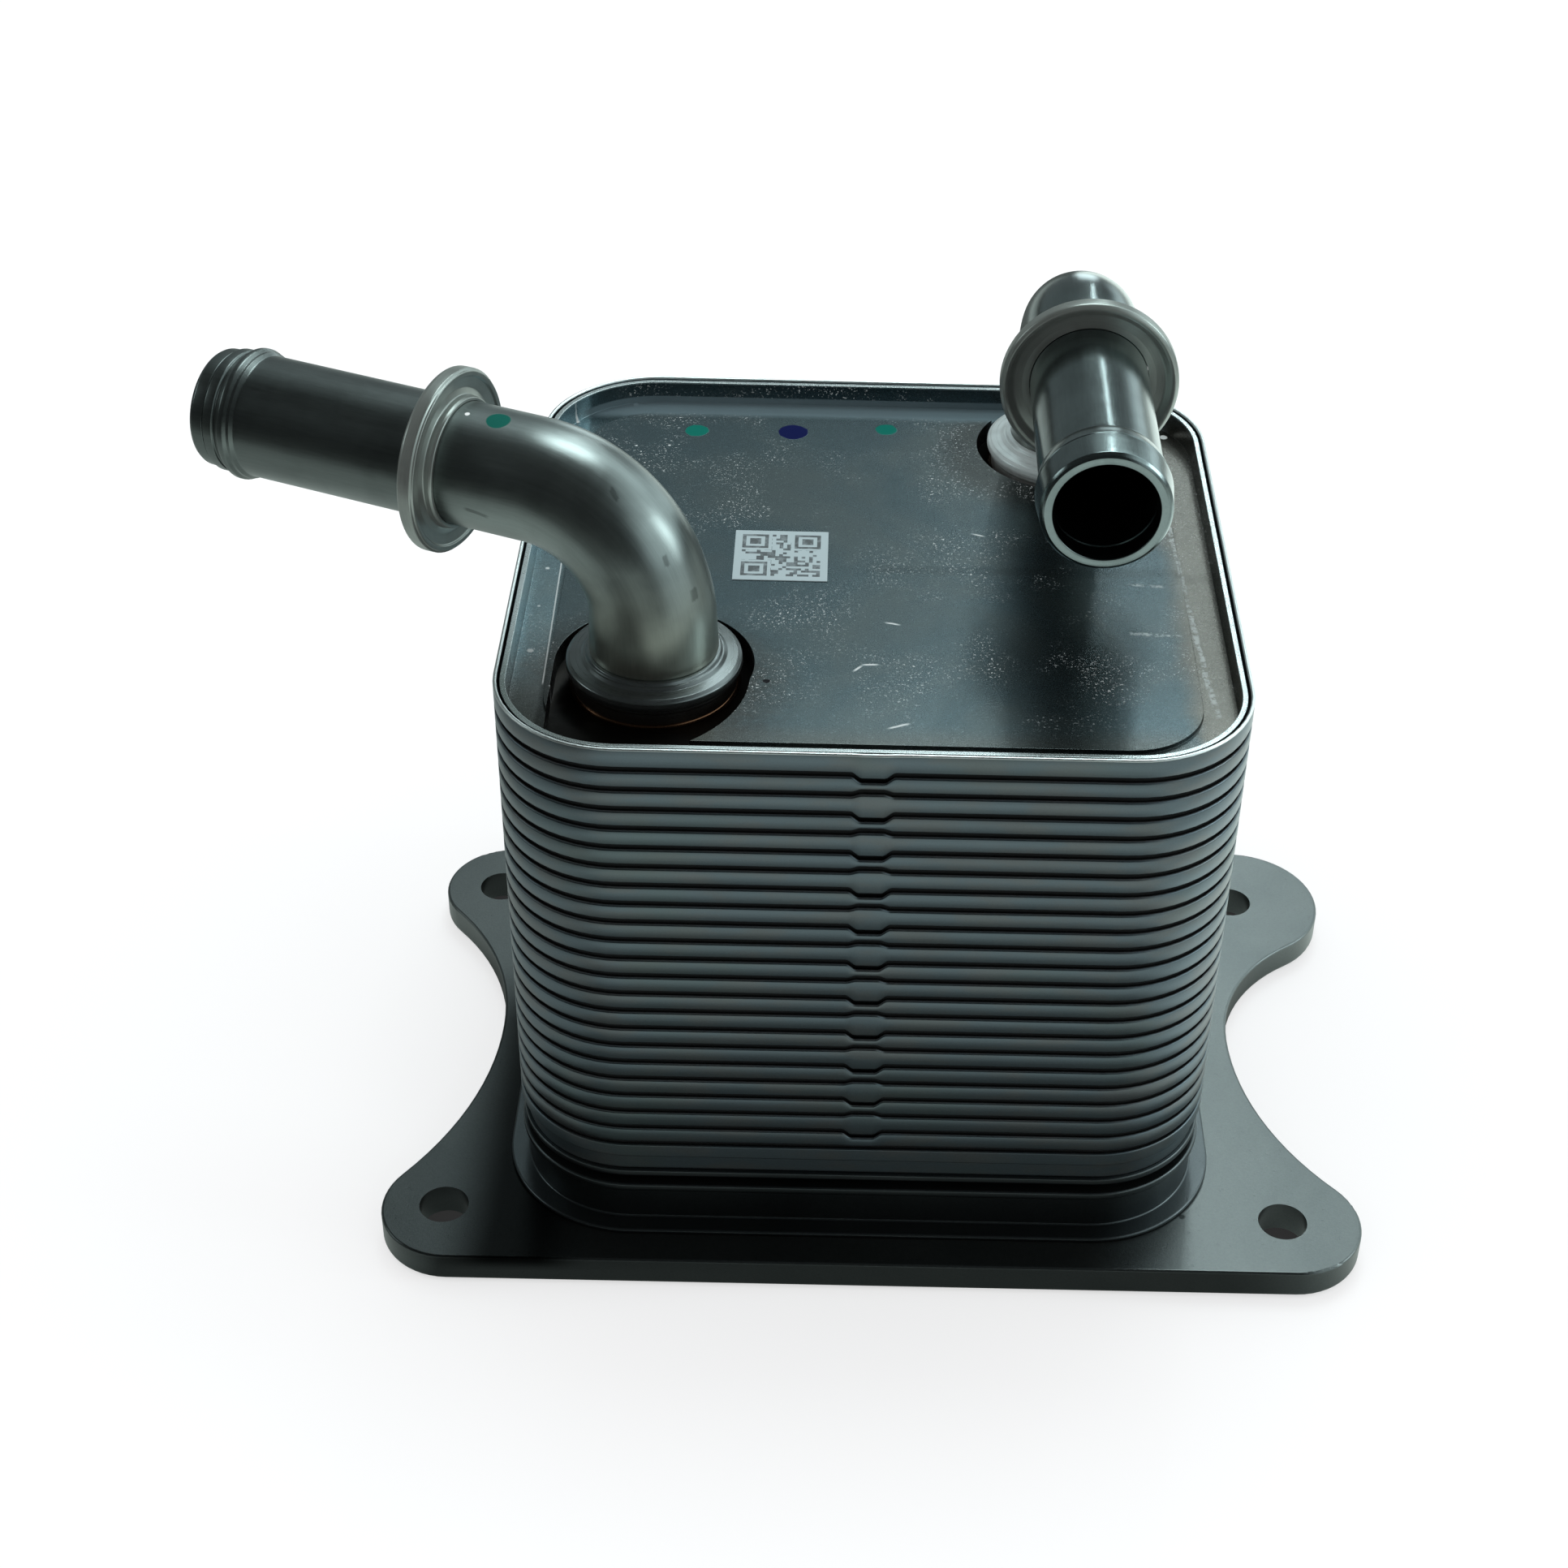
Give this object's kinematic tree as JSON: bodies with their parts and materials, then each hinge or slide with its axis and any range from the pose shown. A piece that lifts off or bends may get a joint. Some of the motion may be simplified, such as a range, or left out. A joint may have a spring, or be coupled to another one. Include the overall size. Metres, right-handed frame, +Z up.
{
  "type": "stacked-plate oil cooler",
  "caption": "Brazed stack of nested pressed plates on a four-bolt flange, with two bent hose stubs on top: a fluid-to-fluid cooler for a gearbox.",
  "frame": {"origin": "on the underside of the base flange, in the middle of its four bolt holes", "axes": "+Z up from the flange through the stack; -Y is the front, where the plate rims carry their marks; +X is to the right"},
  "size_m": [0.1652, 0.1103, 0.1221],
  "materials": {
    "flange_steel": "satin, darkened by brazing",
    "seal_rubber": "matt",
    "pan_steel": "satin, darkened by brazing",
    "plate_steel": "satin, darkened by brazing",
    "cover_steel": "satin, darkened by brazing",
    "tube_steel": "drawn tube, satin",
    "collar_steel": "turned, satin",
    "ferrule_steel": "turned, satin, with a copper tint from brazing",
    "label_paper": "matt paper"
  },
  "bodies": {
    "root": {"base_flange": "flange_steel", "seal_ring_front": "seal_rubber", "seal_ring_rear": "seal_rubber", "base_pan": "pan_steel", "support_plate": "pan_steel", "end_plate": "plate_steel", "core_plate_01": "plate_steel", "core_plate_02": "plate_steel", "core_plate_03": "plate_steel", "core_plate_04": "plate_steel", "core_plate_05": "plate_steel", "core_plate_06": "plate_steel", "core_plate_07": "plate_steel", "core_plate_08": "plate_steel", "core_plate_09": "plate_steel", "core_plate_10": "plate_steel", "core_plate_11": "plate_steel", "core_plate_12": "plate_steel", "core_plate_13": "plate_steel", "core_plate_14": "plate_steel", "core_plate_15": "plate_steel", "core_plate_16": "plate_steel", "core_plate_17": "plate_steel", "core_plate_18": "plate_steel", "core_plate_19": "plate_steel", "core_plate_20": "plate_steel", "core_plate_21": "plate_steel", "top_plate": "plate_steel", "cover": "cover_steel", "coolant_tube_left": "tube_steel", "coolant_tube_right": "tube_steel", "stop_collar_left": "collar_steel", "stop_collar_right": "collar_steel", "ferrule_left": "ferrule_steel", "ferrule_right": "ferrule_steel", "code_label": "label_paper"}
  },
  "joints": []
}
